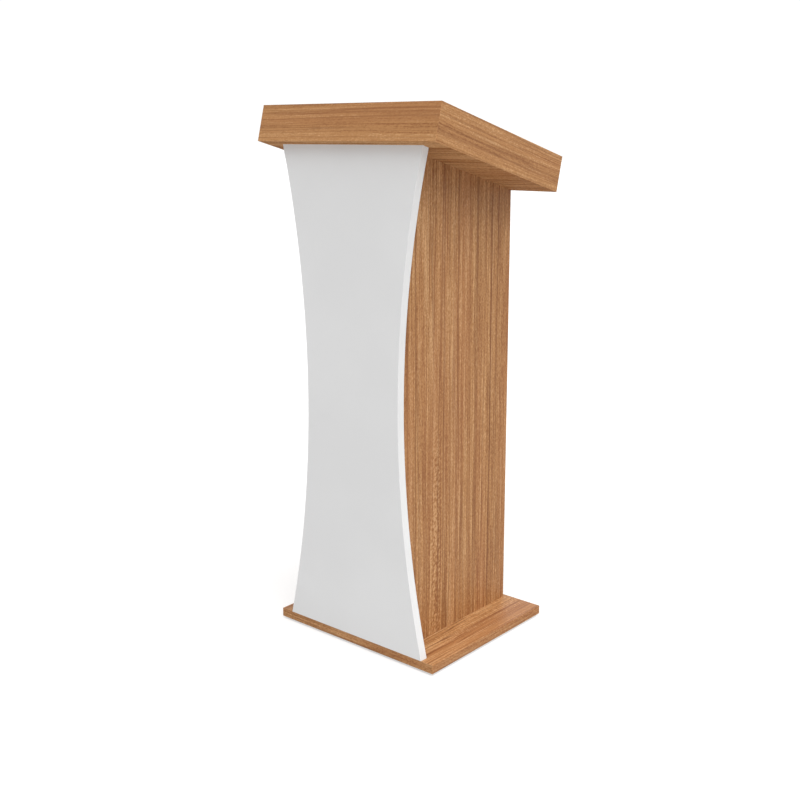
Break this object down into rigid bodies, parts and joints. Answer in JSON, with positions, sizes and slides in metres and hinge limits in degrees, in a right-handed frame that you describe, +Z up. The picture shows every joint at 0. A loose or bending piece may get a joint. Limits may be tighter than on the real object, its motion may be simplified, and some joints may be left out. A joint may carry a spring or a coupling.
{
  "type": "presentation lectern",
  "caption": "Floor-standing wooden lectern: sloped mitred desk box, waisted white front panel, open-backed carcass with shelves, base board on levelling feet.",
  "frame": {"origin": "on the floor, under the middle of the overall bounding box", "axes": "+Z up, +X to the audience's right as they face the lectern, +Y from the audience towards the speaker"},
  "size_m": [0.5, 0.4506, 1.1999],
  "materials": {
    "wood_laminate": "satin laminate, straight teak-like grain",
    "wood_edge_band": "satin edge band",
    "raw_board": "raw",
    "white_laminate": "satin white laminate on board",
    "white_edge_band": "satin",
    "beech": "raw",
    "cast_zinc": "nickel plated",
    "zinc_plated_steel": "zinc plated",
    "foot_plastic": "moulded"
  },
  "bodies": {
    "cabinet": {"base_band_front": "wood_edge_band", "base_band_left": "wood_edge_band", "base_band_rear": "wood_edge_band", "base_band_right": "wood_edge_band", "base_board": "wood_laminate", "base_cam_bolts": "zinc_plated_steel", "base_cams": "cast_zinc", "base_dowels": "beech", "carcass_front": "wood_laminate", "carcass_top": "wood_laminate", "carcass_top_band": "wood_edge_band", "desk_batten_centre": "raw_board", "desk_batten_left": "raw_board", "desk_batten_right": "raw_board", "desk_bottom": "wood_laminate", "desk_fascia_front": "wood_laminate", "desk_fascia_left": "wood_laminate", "desk_fascia_rear": "wood_laminate", "desk_fascia_right": "wood_laminate", "desk_screws": "zinc_plated_steel", "fixed_shelf": "wood_laminate", "fixed_shelf_band": "wood_edge_band", "foot_inserts": "zinc_plated_steel", "front_cam_bolts": "zinc_plated_steel", "front_cams": "cast_zinc", "front_dowels": "beech", "front_panel": "white_laminate", "panel_band_left": "white_edge_band", "panel_band_right": "white_edge_band", "panel_screws": "zinc_plated_steel", "reading_board": "wood_laminate", "rim_band_front": "wood_edge_band", "rim_band_left": "wood_edge_band", "rim_band_rear": "wood_edge_band", "rim_band_right": "wood_edge_band", "shelf_cam_bolts": "zinc_plated_steel", "shelf_cams": "cast_zinc", "shelf_dowels": "beech", "shelf_pins": "zinc_plated_steel", "side_band_left": "wood_edge_band", "side_band_right": "wood_edge_band", "side_panel_left": "wood_laminate", "side_panel_right": "wood_laminate", "top_cam_bolts": "zinc_plated_steel", "top_cams": "cast_zinc", "top_dowels": "beech"},
    "loose_shelf": {"loose_shelf": "wood_laminate", "loose_shelf_band": "wood_edge_band"},
    "foot_front_left": {"foot_pad_front_left": "foot_plastic", "foot_stud_front_left": "zinc_plated_steel"},
    "foot_front_right": {"foot_pad_front_right": "foot_plastic", "foot_stud_front_right": "zinc_plated_steel"},
    "foot_rear_left": {"foot_pad_rear_left": "foot_plastic", "foot_stud_rear_left": "zinc_plated_steel"},
    "foot_rear_right": {"foot_pad_rear_right": "foot_plastic", "foot_stud_rear_right": "zinc_plated_steel"}
  },
  "joints": [
    {"name": "loose_shelf_slide", "type": "slide", "parent": "cabinet", "child": "loose_shelf", "axis": [0, 1, 0], "range_m": [0, 0.355]},
    {"name": "foot_front_left_level", "type": "slide", "parent": "cabinet", "child": "foot_front_left", "axis": [0, 0, -1], "range_m": [0, 0.006]},
    {"name": "foot_front_right_level", "type": "slide", "parent": "cabinet", "child": "foot_front_right", "axis": [0, 0, -1], "range_m": [0, 0.006]},
    {"name": "foot_rear_left_level", "type": "slide", "parent": "cabinet", "child": "foot_rear_left", "axis": [0, 0, -1], "range_m": [0, 0.006]},
    {"name": "foot_rear_right_level", "type": "slide", "parent": "cabinet", "child": "foot_rear_right", "axis": [0, 0, -1], "range_m": [0, 0.006]}
  ]
}
